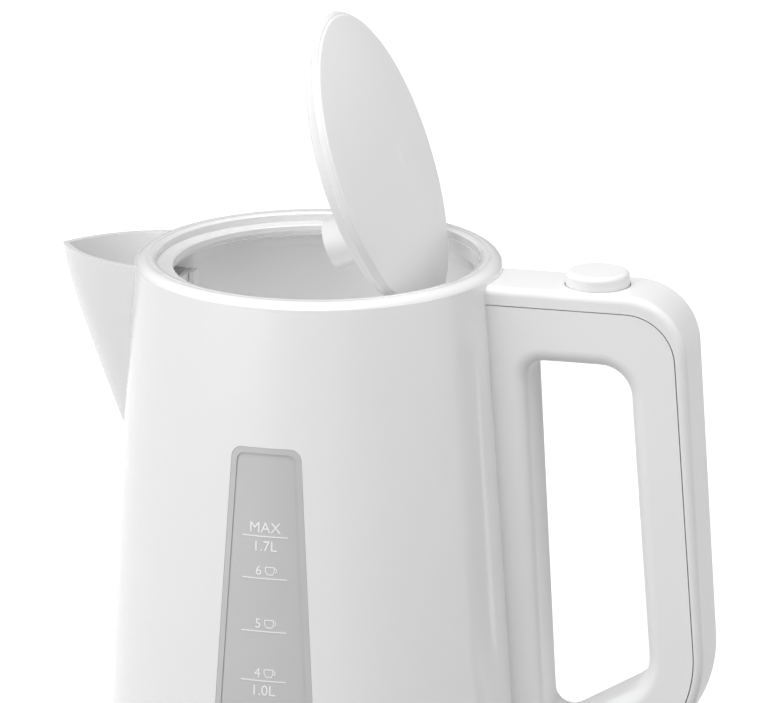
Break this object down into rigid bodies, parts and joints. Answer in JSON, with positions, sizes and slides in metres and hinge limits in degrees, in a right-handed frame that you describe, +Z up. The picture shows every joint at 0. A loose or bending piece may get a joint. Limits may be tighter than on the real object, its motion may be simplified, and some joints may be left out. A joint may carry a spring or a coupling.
{
  "type": "electric kettle",
  "caption": "Cordless electric kettle with a tapered jug, pointed spout, loop handle, sprung lid, water windows and a round power base it lifts off.",
  "frame": {"origin": "centre of the power base's underside, on the axis of the jug", "axes": "+Z up along the jug's axis, +X towards the handle, -X towards the spout, one water window faces -Y"},
  "size_m": [0.2299, 0.1611, 0.3189],
  "materials": {
    "white_gloss": "gloss",
    "white_satin": "satin",
    "window_grey": "translucent",
    "dark_plastic": "matte",
    "rubber_grey": "matte",
    "steel": "brushed",
    "aluminium": "satin",
    "brass": "polished",
    "switch_grey": "satin",
    "lens": "clear"
  },
  "bodies": {
    "power_base": {"base_upper": "white_gloss", "base_lower": "dark_plastic", "base_feet": "rubber_grey", "base_screws": "steel", "cord_inlet": "rubber_grey", "terminal_carrier": "dark_plastic"},
    "base_connector": {"base_connector": "dark_plastic", "base_contacts": "brass"},
    "jug": {"jug_body": "white_gloss", "water_window_front": "window_grey", "water_window_rear": "window_grey", "top_collar": "white_gloss", "spout": "white_gloss", "hinge_bracket": "white_satin", "hinge_screws": "steel", "hinge_pin": "steel", "heater_plate": "steel", "heater_seal": "rubber_grey", "heat_spreader": "aluminium", "heating_element": "aluminium", "jug_connector": "dark_plastic", "control_unit": "dark_plastic", "bimetal_disc": "steel", "bottom_cover": "white_satin", "cover_screws": "steel", "handle_shell": "white_satin", "handle_cover": "white_satin", "steam_tube": "rubber_grey", "steam_thermostat": "dark_plastic", "switch_frame": "dark_plastic", "wires": "rubber_grey", "button_springs": "steel"},
    "spout_filter": {"filter_frame": "white_satin", "filter_mesh": "steel"},
    "lid": {"lid_top": "white_gloss", "lid_bottom": "white_satin", "lid_spring": "steel"},
    "release_button": {"release_button": "white_satin"},
    "lid_latch": {"latch_slider": "dark_plastic"},
    "power_switch": {"switch_lever": "switch_grey", "indicator_lens": "lens"}
  },
  "joints": [
    {"name": "connector_swivel", "type": "hinge", "parent": "power_base", "child": "base_connector", "pos_m": [0, 0, 0.01], "axis": [0, 0, 1], "continuous": true},
    {"name": "jug_lift", "type": "slide", "parent": "base_connector", "child": "jug", "axis": [0, 0, 1], "range_m": [0, 0.06]},
    {"name": "filter_lift", "type": "slide", "parent": "jug", "child": "spout_filter", "axis": [0, 0, 1], "range_m": [0, 0.005]},
    {"name": "lid_hinge", "type": "hinge", "parent": "jug", "child": "lid", "pos_m": [0.0352, 0, 0.2348], "axis": [0, 1, 0], "range_deg": [-70, 0], "stiffness_Nm_per_rad": 0.04, "springref_deg": 40.11},
    {"name": "button_press", "type": "slide", "parent": "jug", "child": "release_button", "axis": [0, 0, -1], "range_m": [0, 0.003], "stiffness_N_per_m": 600},
    {"name": "latch_pull", "type": "slide", "parent": "jug", "child": "lid_latch", "axis": [1, 0, 0], "range_m": [0, 0.003]},
    {"name": "switch_toggle", "type": "hinge", "parent": "jug", "child": "power_switch", "pos_m": [0.081, 0, 0.031], "axis": [0, 1, 0], "range_deg": [0, 12]}
  ],
  "couplings": [
    {"joint": "latch_pull", "follows": "button_press", "ratio": 1}
  ]
}
